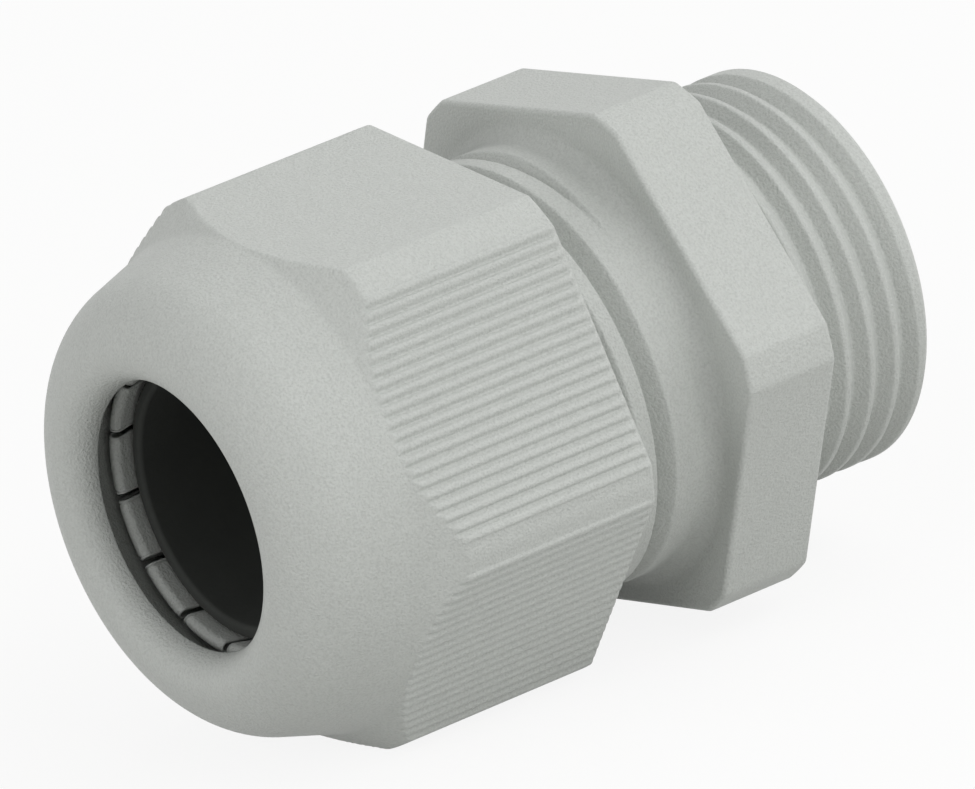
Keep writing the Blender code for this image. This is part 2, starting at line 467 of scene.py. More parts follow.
class HexagonMill(ShapingTree):
    """Mills six soft-edged flats on a turned blank, with grooves where a mask asks for them."""

    def __init__(self) -> None:
        """Build the tree."""
        super().__init__("Hexagon mill", ("Flat radius", "First flat", "Edge softness",
                                          "Half groove pitch", "Half groove width", "Groove depth"))
        tree, given = self.tree, self.given
        half_flat = math.radians(0.5 * FLAT_STEP)
        turned = add_node(tree, MATH, {0: self.angle, 1: given["First flat"]}, operation="SUBTRACT")
        aside = add_node(tree, MATH, {0: turned, 1: half_flat, 2: -half_flat}, operation="WRAP")
        slope = add_node(tree, MATH, {0: aside}, operation="TANGENT")
        along = add_node(tree, MATH, {0: given["Flat radius"], 1: slope}, operation="MULTIPLY")
        from_groove = add_node(tree, MATH, {0: along, 1: given["Half groove pitch"]},
                               operation="PINGPONG")
        groove = add_node(tree, MAP_RANGE,
                          {"Value": from_groove, "From Min": 0.0,
                           "From Max": given["Half groove width"],
                           "To Min": given["Groove depth"], "To Max": 0.0},
                          interpolation_type="SMOOTHSTEP")
        grip, mill, blank = (
            add_node(tree, MASK_READER, {"Name": mask.value}, data_type="FLOAT")
            for mask in (Mask.GRIP, Mask.MILL, Mask.BLANK))
        groove = add_node(tree, MATH, {0: groove, 1: grip}, operation="MULTIPLY")
        depth = add_node(tree, MATH, {0: given["Flat radius"], 1: groove}, operation="SUBTRACT")
        lean = add_node(tree, MATH, {0: aside}, operation="COSINE")
        outline = add_node(tree, MATH, {0: depth, 1: lean}, operation="DIVIDE")
        kept = add_node(tree, MATH, {0: blank, 1: outline, 2: given["Edge softness"]},
                        operation="SMOOTH_MIN")
        fall = add_node(tree, MATH, {0: kept, 1: blank}, operation="SUBTRACT")
        self.push_out(add_node(tree, MATH, {0: fall, 1: mill}, operation="MULTIPLY"))


class ThreadCutter(ShapingTree):
    """Cuts right-hand helical grooves into a turned blank, as far as a mask lets it."""

    def __init__(self) -> None:
        """Build the tree."""
        super().__init__("Thread cutter", ("Pitch", "Starts", "Start", "Depth", "Rear edge",
                                           "Rear root", "Front root", "Front edge", "Rear curve",
                                           "Begin", "Full depth"), texts=("Mask",))
        tree, given = self.tree, self.given
        # Heights run along -X, and a right-hand groove climbs as the angle grows
        along = add_node(tree, MATH, {0: self.parts["X"], 1: given["Pitch"]}, operation="DIVIDE")
        turn = add_node(tree, MATH, {0: self.angle, 1: math.tau}, operation="DIVIDE")
        behind = add_node(tree, MATH, {0: turn, 1: given["Starts"], 2: along},
                          operation="MULTIPLY_ADD")
        place = add_node(tree, MATH, {0: given["Start"], 1: behind}, operation="SUBTRACT")
        number = add_node(tree, MATH, {0: place}, operation="ROUND")
        aside = add_node(tree, MATH, {0: place, 1: number}, operation="SUBTRACT")
        rear = add_node(tree, MAP_RANGE, {"Value": aside, "From Min": given["Rear edge"],
                                          "From Max": given["Rear root"]})
        rear = add_node(tree, MATH, {0: rear, 1: given["Rear curve"]}, operation="POWER")
        front = add_node(tree, MAP_RANGE, {"Value": aside, "From Min": given["Front root"],
                                           "From Max": given["Front edge"],
                                           "To Min": 1.0, "To Max": 0.0})
        section = add_node(tree, MATH, {0: rear, 1: front}, operation="MINIMUM")
        # Height of the groove's middle at this angle, which lifts the groove out at its beginning
        line = add_node(tree, MATH, {0: turn, 1: given["Starts"], 2: number},
                        operation="MULTIPLY_ADD")
        shifted = add_node(tree, MATH, {0: line, 1: given["Start"]}, operation="SUBTRACT")
        middle = add_node(tree, MATH, {0: shifted, 1: given["Pitch"]}, operation="MULTIPLY")
        lift = add_node(tree, MAP_RANGE,
                        {"Value": middle, "From Min": given["Begin"],
                         "From Max": given["Full depth"], "To Min": 1.0, "To Max": 0.0},
                        interpolation_type="SMOOTHSTEP")
        lifted = add_node(tree, MATH, {0: section, 1: lift}, operation="SUBTRACT")
        kept = add_node(tree, MATH, {0: lifted, 1: 0.0}, operation="MAXIMUM")
        cut = add_node(tree, MATH, {0: kept, 1: given["Depth"]}, operation="MULTIPLY")
        mask = add_node(tree, MASK_READER, {"Name": given["Mask"]}, data_type="FLOAT")
        inward = add_node(tree, MATH, {0: mask, 1: -1.0}, operation="MULTIPLY")
        self.push_out(add_node(tree, MATH, {0: cut, 1: inward}, operation="MULTIPLY"))


class FingerRing(ShapingTree):
    """Turns one finger from the top to its place in the ring."""

    def __init__(self) -> None:
        """Build the tree."""
        super().__init__("Finger ring", ("Number", "Finger count", "First slit"))
        tree, given = self.tree, self.given
        step = add_node(tree, MATH, {0: math.tau, 1: given["Finger count"]}, operation="DIVIDE")
        middle = add_node(tree, MATH, {0: given["Number"], 1: 0.5}, operation="ADD")
        angle = add_node(tree, MATH, {0: middle, 1: step, 2: given["First slit"]},
                         operation="MULTIPLY_ADD")
        back = add_node(tree, MATH, {0: angle, 1: -1.0}, operation="MULTIPLY")
        turn = add_node(tree, "ShaderNodeCombineXYZ", {"X": back})
        self.end_with(add_node(tree, "GeometryNodeTransform",
                               {"Geometry": given["Geometry"], "Rotation": turn}))


@dataclass(frozen=True)
class MouldedFinish:
    """What moulded surfaces share: a slightly cloudy colour under a fine grain.

    Attributes:
        name: Name of the material.
        colour: Main colour.
        cloud_colour: Colour that it clouds into.
        cloud: Size of the clouds in millimetres.
        grain: Spacing of the grain in millimetres.
        grain_depth: Depth of the grain in millimetres.
        ior: Index of refraction.
        roughness: Lowest and highest roughness.
        pit_colour: Colour in the pits of the grain, where some shade gathers, or None.
        pit_range: Heights of the grain between which the pits' colour gives way.
        cloud_detail: Finer layers of the clouds.
        grain_detail: Finer layers of the grain.
        specular: Specular level.
    """

    name: str
    colour: str
    cloud_colour: str
    cloud: float
    grain: float
    grain_depth: float
    ior: float
    roughness: tuple[float, float]
    pit_colour: str | None = None
    pit_range: tuple[float, float] = (0.3, 0.6)
    cloud_detail: float = 3.0
    grain_detail: float = 2.0
    specular: float = 0.5

    def material(self) -> bpy.types.Material:
        """Make the finish.

        Returns:
            A material whose patterns lie on Object coordinates.
        """
        material = bpy.data.materials.new(self.name)
        material.use_nodes = True
        tree = material.node_tree
        shader = tree.nodes["Principled BSDF"]
        place = add_node(tree, "ShaderNodeTexCoord").outputs["Object"]
        clouds, grain = (
            add_node(tree, NOISE, {"Vector": place, "Scale": 1.0 / (size * MM), "Detail": detail})
            for size, detail in ((self.cloud, self.cloud_detail), (self.grain, self.grain_detail)))
        colour = add_node(tree, MIX, {"Factor": clouds, "A": linear_colour(self.colour),
                                      "B": linear_colour(self.cloud_colour)}, data_type="RGBA")
        if self.pit_colour:
            low, high = self.pit_range
            pits = add_node(tree, MAP_RANGE, {"Value": grain, "From Min": low, "From Max": high})
            colour = add_node(tree, MIX, {"Factor": pits, "A": linear_colour(self.pit_colour),
                                          "B": colour.outputs["Result"]}, data_type="RGBA")
        low, high = self.roughness
        rough = add_node(tree, MAP_RANGE, {"Value": grain, "To Min": low, "To Max": high})
        bump = add_node(tree, "ShaderNodeBump",
                        {"Height": grain, "Distance": self.grain_depth * MM, "Strength": 1.0})
        tree.links.new(colour.outputs["Result"], shader.inputs["Base Color"])
        tree.links.new(rough.outputs[0], shader.inputs["Roughness"])
        tree.links.new(bump.outputs[0], shader.inputs["Normal"])
        shader.inputs["IOR"].default_value = self.ior
        shader.inputs["Specular IOR Level"].default_value = self.specular
        return material


@dataclass(frozen=True)
class MouldedPolyamide(MouldedFinish):
    """Polyamide 6, injection moulded in a lightly spark-eroded tool.

    It gives the eye a matt, nearly neutral light grey with a fine pebbled grain, slightly cloudy
    colour, soft highlights and no sparkle. A real tool's grain is about half as coarse, which is
    too fine to show at the size of the picture.
    """

    name: str = "moulded_light_grey_polyamide"
    colour: str = "#C4C7C3"
    cloud_colour: str = "#CACDC9"
    cloud: float = 1.6
    grain: float = 0.13
    grain_depth: float = 0.06
    ior: float = 1.53
    roughness: tuple[float, float] = (0.50, 0.62)
    pit_colour: str | None = "#BBBEBA"


@dataclass(frozen=True)
class MouldedRubber(MouldedFinish):
    """Chloroprene rubber, compression moulded.

    It gives the eye a dull near-black that shows little more than a broad grey sheen, with paler
    patches where wax has bloomed to the surface. The bloom is matt, so the specular level is low.
    """

    name: str = "moulded_black_chloroprene"
    colour: str = "#333533"
    cloud_colour: str = "#3B3D3A"
    cloud: float = 2.5
    grain: float = 0.2
    grain_depth: float = 0.01
    ior: float = 1.52
    roughness: tuple[float, float] = (0.7, 0.85)
    cloud_detail: float = 4.0
    specular: float = 0.25


@dataclass(frozen=True)
class Hexagon:
    """A soft-edged hexagon with rounded corners, seen along the axis.

    Attributes:
        first_flat: Angle of its first flat, in degrees from the top.
        corner_radius: Radius that the corners are turned to.
        across_flats: Width over two flats.
        softness: How far each edge of a flat blends into the turned corner.
        edge_spread: Angle in degrees to each side of an edge that has close columns.
        edge_columns: Number of these columns.
        corner_columns: Columns across a turned corner.
    """

    first_flat: float
    corner_radius: float
    across_flats: float = 25.0
    softness: float = 0.08
    edge_spread: float = 1.0
    edge_columns: int = 9
    corner_columns: int = 5

    @property
    def edge_angle(self) -> float:
        """Angle in degrees from a flat's middle to its edge."""
        return math.degrees(math.acos(0.5 * self.across_flats / self.corner_radius))

    def flat_angle(self, flat: int) -> float:
        """Angle in degrees of the middle of a flat."""
        return self.first_flat - FLAT_STEP * flat

    def columns(self, on_flats: Sequence[Sequence[float]]) -> np.ndarray:
        """Return the angles of all columns round the axis.

        Args:
            on_flats: For each flat, the columns' places on it in millimetres from its middle.

        Returns:
            Sorted angles in radians, with close columns along every edge.
        """
        flat_radius = 0.5 * self.across_flats
        edge = self.edge_angle
        inner = edge - self.edge_spread
        found: list[float] = []
        for flat, places in enumerate(on_flats):
            middle = self.flat_angle(flat)
            aside = [math.degrees(math.atan(place / flat_radius)) for place in places]
            found += [middle + angle for angle in aside if abs(angle) < inner]
            close = np.linspace(inner, edge + self.edge_spread, self.edge_columns)
            found += [middle + angle for angle in close] + [middle - angle for angle in close]
            corner = np.linspace(edge + self.edge_spread, FLAT_STEP - edge - self.edge_spread,
                                 self.corner_columns)
            found += [middle + angle for angle in corner[1:-1]]
        # Rounding lets columns that coincide fall together
        return np.radians(np.unique(np.round(np.mod(found, 360.0), 4)))

    def mill_values(self, material: bpy.types.Material) -> dict[str, object]:
        """Give the mill's inputs for this hexagon without grooves.

        Args:
            material: Finish of the piece.

        Returns:
            Value of each named input.
        """
        return {"Flat radius": 0.5 * self.across_flats * MM,
                "First flat": math.radians(self.first_flat),
                "Edge softness": self.softness * MM, "Half groove pitch": MM,
                "Half groove width": MM, "Groove depth": 0.0, "Material": material}


@dataclass(frozen=True)
class Thread:
    """Helical grooves of a thread, in millimetres and in shares of the pitch.

    Attributes:
        mask: Attribute that says where the thread is cut.
        starts: Number of grooves side by side.
        start: Share of the pitch by which the grooves are shifted to the rear.
        pitch: Distance from groove to groove.
        depth: Depth of a groove.
        rear_flank: Where the collar's side of a groove leaves the crest and meets the root, as
            shares of the pitch from the groove's middle.
        front_flank: Where the dome's side leaves the root and meets the crest.
        rear_curve: Power of the rear flank's slope: 1 is straight, 2 rounds over to the crest.
        begin: Heights of a groove's middle where it begins and where it has its full depth. As
            given here they lie below every piece, so that the depth is full all along.
    """

    mask: Mask
    starts: int
    start: float
    pitch: float
    depth: float
    rear_flank: tuple[float, float]
    front_flank: tuple[float, float]
    rear_curve: float = 1.0
    begin: tuple[float, float] = (-100.0, -99.0)

    def cutter_values(self, material: bpy.types.Material) -> dict[str, object]:
        """Give the thread cutter's inputs for this thread.

        Args:
            material: Finish of the piece.

        Returns:
            Value of each named input.
        """
        return {"Mask": self.mask.value, "Pitch": self.pitch * MM, "Starts": float(self.starts),
                "Start": self.start, "Depth": self.depth * MM,
                "Rear edge": self.rear_flank[0], "Rear root": self.rear_flank[1],
                "Front root": self.front_flank[0], "Front edge": self.front_flank[1],
                "Rear curve": self.rear_curve, "Begin": self.begin[0] * MM,
                "Full depth": self.begin[1] * MM, "Material": material}


@dataclass
class GlandBody:
    """The body moulding: connection thread, hexagon collar, neck and clamping thread.

    Attributes:
        collar: Hexagon of the collar.
        connection: Thread that screws into the wall.
        clamping: Thread that the dome nut runs on.
        thread_radius: Outer radius of the connection thread.
        thread_length: Length of the connection thread.
        lead_in: Chamfer at the connection thread's end.
        run_out: Heights between which the connection thread fades towards the collar.
        collar_height: Height of the collar's front face.
        collar_edge: Round on the collar's edges.
        neck_radius: Outer radius of the clamping thread.
        neck_fillet: Round between collar and neck.
        clamp_from: Heights between which the clamping thread comes in.
        clamp_to: Heights between which it fades out.
        clamp_seen: Height up to which the neck's rings are close, just inside the nut.
        front: Height of the front face.
        front_lead: Chamfer at the front face.
        bore: Radius of the cable's bore.
        bore_break: Chamfer at the bore's rear end.
        seat_radius: Radius of the seal's seat.
        seat_height: Height of the seat's floor.
        end_edge: Round on the edge of the connection thread's end face.
        lead_edge: Round where the lead-in meets the connection thread.
        break_edge: Round on every other edge.
        ring_step: Distance between rings on a thread that shows.
        hidden_step: Distance between rings under the nut.
        flat_columns: Columns on each flat.
    """

    collar: Hexagon = Hexagon(first_flat=6.75, corner_radius=13.94, softness=0.12)
    connection: Thread = Thread(
        Mask.CONNECTION_THREAD, starts=1, start=0.567, pitch=1.5, depth=0.55,
        rear_flank=(-0.41, -0.03), front_flank=(0.03, 0.41), begin=(-7.6, -7.45))
    clamping: Thread = Thread(
        Mask.CLAMPING_THREAD, starts=2, start=0.25, pitch=2.0, depth=0.8,
        rear_flank=(-0.3, 0.06), front_flank=(0.12, 0.29), rear_curve=1.2, begin=(6.95, 7.6))
    thread_radius: float = 10.0
    thread_length: float = 8.65
    lead_in: float = 0.3
    run_out: tuple[float, float] = (-0.9, -0.3)
    collar_height: float = 5.2
    collar_edge: float = 0.25
    neck_radius: float = 10.9
    neck_fillet: float = 0.85
    clamp_from: tuple[float, float] = (6.6, 6.9)
    clamp_to: tuple[float, float] = (16.9, 17.6)
    clamp_seen: float = 11.8
    front: float = 17.45
    front_lead: float = 0.7
    bore: float = 7.3
    bore_break: float = 0.6
    seat_radius: float = 8.75
    seat_height: float = 13.75
    end_edge: float = 0.05
    lead_edge: float = 0.15
    break_edge: float = 0.1
    ring_step: float = 0.065
    hidden_step: float = 0.15
    flat_columns: int = 24

    def corners(self) -> list[Corner]:
        """Lay out the profile.

        Returns:
            Its corners, from the connection thread's end face round to the bore.
        """
        end = -self.thread_length
        edge = self.collar_edge
        outer = self.collar.corner_radius
        small = self.break_edge
        return [
            Corner(self.bore + self.bore_break, end),
            Corner(self.thread_radius - self.lead_in, end, self.end_edge),
            Corner(self.thread_radius, end + self.lead_in, self.lead_edge, self.ring_step),
            Corner(self.thread_radius, 0.0, small),
            Corner(outer, 0.0, edge),
            Corner(outer, self.collar_height, edge),
            Corner(self.neck_radius, self.collar_height, self.neck_fillet, self.ring_step),
            Corner(self.neck_radius, self.clamp_seen, 0.0, self.hidden_step),
            Corner(self.neck_radius, self.front - self.front_lead, small),
            Corner(self.neck_radius - self.front_lead, self.front, small),
            Corner(self.seat_radius, self.front, small),
            Corner(self.seat_radius, self.seat_height, small),
            Corner(self.bore, self.seat_height, small),
            Corner(self.bore, end + self.bore_break),
        ]

    def ring(self, radius: float, height: float) -> Ring:
        """Say what is done to the ring at a point of the profile.

        Args:
            radius: Turned radius of the ring.
            height: Height of the ring.

        Returns:
            The ring with its masks.
        """
        masks: dict[Mask, float] = {}
        outer = self.collar.corner_radius
        inner = self.thread_radius if height < 0.5 * self.collar_height else (
            self.neck_radius + self.neck_fillet)
        if 0.0 <= height <= self.collar_height and radius > inner:
            masks[Mask.BLANK] = outer * MM
            masks[Mask.MILL] = min((radius - inner) / (outer - self.collar_edge - inner), 1.0)
        if radius > self.seat_radius:
            masks[Mask.CONNECTION_THREAD] = 1.0 - smooth_step(*self.run_out, height)
            masks[Mask.CLAMPING_THREAD] = (smooth_step(*self.clamp_from, height)
                                           * (1.0 - smooth_step(*self.clamp_to, height)))
        return Ring(radius, height, masks)

    def build(self, mill: HexagonMill, cutter: ThreadCutter,
              material: bpy.types.Material) -> bpy.types.Object:
        """Make the body and set it on its CAD node.

        Args:
            mill: Tree that mills the collar.
            cutter: Tree that cuts both threads.
            material: Finish of the moulding.

        Returns:
            The finished piece.
        """
        rings = [self.ring(*point) for point in Profile(self.corners()).points()]
        half_flat = 0.5 * self.collar.across_flats * math.tan(math.radians(self.collar.edge_angle))
        places = np.linspace(-half_flat, half_flat, self.flat_columns)
        columns = self.collar.columns([places] * HEX_SIDES)
        item = new_object("gland_body_moulding", Skin([(rings, columns)]).mesh("gland_body"))
        mill.put_on(item, self.collar.mill_values(material))
        for thread in (self.connection, self.clamping):
            cutter.put_on(item, thread.cutter_values(material))
        settle(item)
        set_on_node(item, "gland_body", Slot.POLYAMIDE)
        return item


@dataclass
class DomeNut:
    """The dome nut: grip ribs on four flats, a dome with the cable hole and an inner cone.

    Attributes:
        hexagon: Hexagon with the grip ribs.
        thread: Inner thread. What the cutter moves towards the axis stands up as ridges here.
        ribbed_flats: Numbers of the flats that have ribs.
        rear: Height of the rear face.
        rear_edge: Round on the rear edge.
        front_zone: Height from which rings are close and each is milled from its own radius.
        hex_front: Height where the blank starts to slope in.
        hex_edge: Round at that height.
        shoulder_radius: Radius of the blank where the slope meets the dome's foot.
        shoulder_height: Height of that place.
        shoulder_edge: Round at that place.
        hand_over: Share of the way from there to the dome where the dome's columns take over.
        dome_centre: Radius and height of the centre of the dome's round.
        dome_radius: Radius of the dome's round.
        dome_end: Angle of the round's foot, in degrees from the axis outwards.
        hole: Radius of the cable hole.
        lip_radius: Round of the hole's lip.
        lip_end: Angle where the lip's round ends, facing the axis.
        lip_back: How much wider the inside is than the hole, straight behind the lip.
        cone_height: Height of the inner cone's narrow end.
        cone_radius: Radius of its narrow end.
        cone_foot: Height of its wide end.
        cone_edges: Rounds at its narrow and its wide end.
        bore: Radius of the bore between the inner thread's ridges.
        bore_break: Chamfer at the bore's mouth.
        thread_from: Heights between which the inner thread comes in.
        thread_to: Heights between which it fades out.
        groove_count: Grooves between the ribs of a flat.
        groove_pitch: Distance from groove to groove.
        groove_width: Width of a groove.
        groove_depth: Depth of a groove.
        groove_rear: Heights between which the grooves come in.
        groove_front: Heights between which they fade out.
        groove_columns: Columns at a groove, as shares of the pitch from its middle.
        flat_columns: Columns on a smooth flat.
        dome_columns: Columns round the dome.
        inner_columns: Columns round the inside.
        ring_step: Distance between rings where they are close.
        arc_degrees: Largest angle between the rings of the dome and its lip.
    """

    hexagon: Hexagon = Hexagon(first_flat=-6.75, corner_radius=13.89)
    thread: Thread = Thread(
        Mask.CLAMPING_THREAD, starts=2, start=0.25, pitch=2.0, depth=0.5,
        rear_flank=(-0.15, 0.03), front_flank=(0.12, 0.24))
    ribbed_flats: tuple[int, ...] = (1, 2, 4, 5)
    rear: float = 11.4
    rear_edge: float = 0.2
    front_zone: float = 21.9
    hex_front: float = 22.55
    hex_edge: float = 0.3
    shoulder_radius: float = 12.45
    shoulder_height: float = 24.15
    shoulder_edge: float = 0.8
    hand_over: float = 0.4
    dome_centre: Point = (7.55, 25.999)
    dome_radius: float = 4.15
    dome_end: float = 75.0
    hole: float = 6.8
    lip_radius: float = 1.5
    lip_end: float = -90.0
    lip_back: float = 0.15
    cone_height: float = 28.6
    cone_radius: float = 7.55
    cone_foot: float = 20.75
    cone_edges: tuple[float, float] = (0.1, 0.3)
    bore: float = 11.2
    bore_break: float = 0.5
    thread_from: tuple[float, float] = (11.9, 13.4)
    thread_to: tuple[float, float] = (18.4, 19.4)
    groove_count: int = 19
    groove_pitch: float = 0.633
    groove_width: float = 0.46
    groove_depth: float = 0.19
    groove_rear: tuple[float, float] = (11.3, 11.9)
    groove_front: tuple[float, float] = (23.75, 24.55)
    groove_columns: tuple[float, ...] = (-0.5, -0.32, -0.21, -0.1, 0.0, 0.1, 0.21, 0.32)
    flat_columns: int = 36
    dome_columns: int = 240
    inner_columns: int = 168
    ring_step: float = 0.12
    arc_degrees: float = 3.5

    @property
    def lip_angle(self) -> float:
        """Angle in radians where the lip's round touches the dome's from within."""
        return math.asin((self.hole + self.lip_radius - self.dome_centre[0])
                         / (self.dome_radius - self.lip_radius))

    @property
    def lip_centre(self) -> Point:
        """Radius and height of the centre of the lip's round."""
        spread = self.dome_radius - self.lip_radius
        return (self.hole + self.lip_radius,
                self.dome_centre[1] + spread * math.cos(self.lip_angle))

    def hexagon_corners(self) -> list[Corner]:
        """Lay out the blank of the hexagon.

        Returns:
            Its corners, from the rear face to where the dome's columns take over.
        """
        outer = self.hexagon.corner_radius
        share = self.hand_over
        foot = self._arc(self.dome_centre, self.dome_radius, self.dome_end, self.dome_end)[0]
        end = Corner(self.shoulder_radius + share * (foot.radius - self.shoulder_radius),
                     self.shoulder_height + share * (foot.height - self.shoulder_height))
        return [
            Corner(self.bore + self.bore_break, self.rear),
            Corner(outer, self.rear, self.rear_edge, self.ring_step),
            Corner(outer, self.groove_rear[1] + self.ring_step),
            Corner(outer, self.front_zone, 0.0, self.ring_step),
            Corner(outer, self.hex_front, self.hex_edge, self.ring_step),
            Corner(self.shoulder_radius, self.shoulder_height, self.shoulder_edge, self.ring_step),
            end,
        ]

    def dome_corners(self) -> list[Corner]:
        """Lay out the dome.

        Returns:
            The points of the dome and its lip, from the foot round to the lip's back.
        """
        meeting = math.degrees(self.lip_angle)
        dome = self._arc(self.dome_centre, self.dome_radius, self.dome_end, meeting)
        return dome[:-1] + self._arc(self.lip_centre, self.lip_radius, meeting, self.lip_end)

    def inner_corners(self) -> list[Corner]:
        """Lay out the inside.

        Returns:
            Its corners, from the lip's back to the bore's mouth.
        """
        return [
            Corner(self.hole + self.lip_back, self.lip_centre[1]),
            Corner(self.cone_radius, self.cone_height, self.cone_edges[0]),
            Corner(self.bore, self.cone_foot, self.cone_edges[1], self.ring_step),
            Corner(self.bore, self.rear + self.bore_break),
        ]

    def _arc(self, centre: Point, radius: float, start: float, end: float) -> list[Corner]:
        """Return points on a round of the section.

        Args:
            centre: Radius and height of the round's centre.
            radius: Radius of the round.
            start: Angle of the first point, in degrees from the axis outwards.
            end: Angle of the last point.

        Returns:
            The points as plain corners.
        """
        count = math.ceil(abs(end - start) / self.arc_degrees)
        angles = np.radians(np.linspace(start, end, count + 1))
        return [Corner(centre[0] + radius * math.sin(angle), centre[1] + radius * math.cos(angle))
                for angle in angles]

    def outer_ring(self, radius: float, height: float) -> Ring:
        """Say what is done to the ring at a point of the hexagon's blank.

        Args:
            radius: Turned radius of the ring.
            height: Height of the ring.

        Returns:
            The ring with its masks.
        """
        outer = self.hexagon.corner_radius
        inner = self.bore + self.bore_break
        rear_part = height < self.front_zone
        share = min((radius - inner) / (outer - self.rear_edge - inner), 1.0)
        grip = smooth_step(*self.groove_rear, height) * (
            1.0 - smooth_step(*self.groove_front, height))
        return Ring(radius, height, {Mask.BLANK: (outer if rear_part else radius) * MM,
                                     Mask.MILL: share if rear_part else 1.0, Mask.GRIP: grip})

    def inner_ring(self, radius: float, height: float) -> Ring:
        """Say what is done to the ring at a point of the inside.

        Args:
            radius: Turned radius of the ring.
            height: Height of the ring.

        Returns:
            The ring with its mask.
        """
        share = smooth_step(*self.thread_from, height) * (
            1.0 - smooth_step(*self.thread_to, height))
        return Ring(radius, height, {Mask.CLAMPING_THREAD: share})

    def columns(self) -> np.ndarray:
        """Lay out the hexagon's columns.

        Returns:
            Their angles in radians, close together in each groove.
        """
        middle = 0.5 * (self.groove_count - 1)
        ribbed = [(groove - middle + share) * self.groove_pitch
                  for groove in range(self.groove_count) for share in self.groove_columns]
        width = 0.5 * self.groove_count * self.groove_pitch
        smooth = list(np.linspace(-width, width, self.flat_columns))
        return self.hexagon.columns([ribbed if flat in self.ribbed_flats else smooth
                                     for flat in range(HEX_SIDES)])

    def build(self, mill: HexagonMill, cutter: ThreadCutter,
              material: bpy.types.Material) -> bpy.types.Object:
        """Make the nut and set it on its CAD node.

        Args:
            mill: Tree that mills the flats and their grooves.
            cutter: Tree that forms the inner thread.
            material: Finish of the moulding.

        Returns:
            The finished piece.
        """
        outside = [self.outer_ring(*point) for point in Profile(self.hexagon_corners()).points()]
        dome = [Ring(*point) for point in Profile(self.dome_corners()).points()]
        inside = [self.inner_ring(*point) for point in Profile(self.inner_corners()).points()]
        skin = Skin([(outside, self.columns()), (dome, even_columns(self.dome_columns)),
                     (inside, even_columns(self.inner_columns))])
        mesh = skin.mesh("dome_nut")
        self._clear_smooth_flats(mesh)
        item = new_object("dome_nut_moulding", mesh)
        values = self.hexagon.mill_values(material)
        values.update({"Half groove pitch": 0.5 * self.groove_pitch * MM,
                       "Half groove width": 0.5 * self.groove_width * MM,
                       "Groove depth": self.groove_depth * MM})
        mill.put_on(item, values)
        cutter.put_on(item, self.thread.cutter_values(material))
        settle(item)
        set_on_node(item, "dome_nut", Slot.POLYAMIDE)
        return item

    def _clear_smooth_flats(self, mesh: bpy.types.Mesh) -> None:
        """Take the grip mask off the flats that have no ribs.

        Args:
            mesh: Mesh of the nut before it is milled.
        """
        places = np.empty(len(mesh.vertices) * 3, np.float32)
        mesh.vertices.foreach_get("co", places)
        places = places.reshape(-1, 3)
        angles = np.degrees(np.arctan2(places[:, 1], places[:, 2]))
        flats = np.round((self.hexagon.first_flat - angles) / FLAT_STEP).astype(int) % HEX_SIDES
        layer = mesh.attributes[Mask.GRIP.value]
        grip = np.empty(len(mesh.vertices), np.float32)
        layer.data.foreach_get("value", grip)
        grip *= np.isin(flats, self.ribbed_flats)
        layer.data.foreach_set("value", grip)


@dataclass
class SealingInsert:
    """The rubber sleeve between the fingers and the cable.

    Attributes:
        rear: Height of the rear end.
        front: Height of the front end.
        rear_radius: Outer radius of the rear part.
        taper_start: Height where the outside starts to taper.
        taper_round: Round at that height.
        front_radius: Outer radius of the front end.
        bore: Inner radius.
        edge: Round, or chamfer at the bore's rear end.
        travel: How far the nut drives the front end; not used.
        columns: Columns round the axis.
    """

    rear: float = 14.05
    front: float = 26.5
    rear_radius: float = 8.45
    taper_start: float = 17.25
    taper_round: float = 2.0
    front_radius: float = 6.95
    bore: float = 6.3
    edge: float = 0.25
    travel: float = 1.0
    columns: int = 120

    def build(self, material: bpy.types.Material) -> bpy.types.Object:
        """Make the seal and set it on its CAD node.

        Args:
            material: Finish of the rubber.

        Returns:
            The finished piece.
        """
        corners = [
            Corner(self.bore + self.edge, self.rear),
            Corner(self.rear_radius, self.rear, self.edge),
            Corner(self.rear_radius, self.taper_start, self.taper_round),
            Corner(self.front_radius, self.front, self.edge),
            Corner(self.bore, self.front, self.edge),
            Corner(self.bore, self.rear + self.edge),
        ]
        rings = [Ring(*point) for point in Profile(corners).points()]
        mesh = Skin([(rings, even_columns(self.columns))]).mesh("sealing_insert")
        mesh.materials.append(material)
        item = settle(new_object("sealing_insert_rubber", mesh))
        set_on_node(item, "sealing_insert", Slot.RUBBER)
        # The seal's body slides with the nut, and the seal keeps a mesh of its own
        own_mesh(item)
        return item


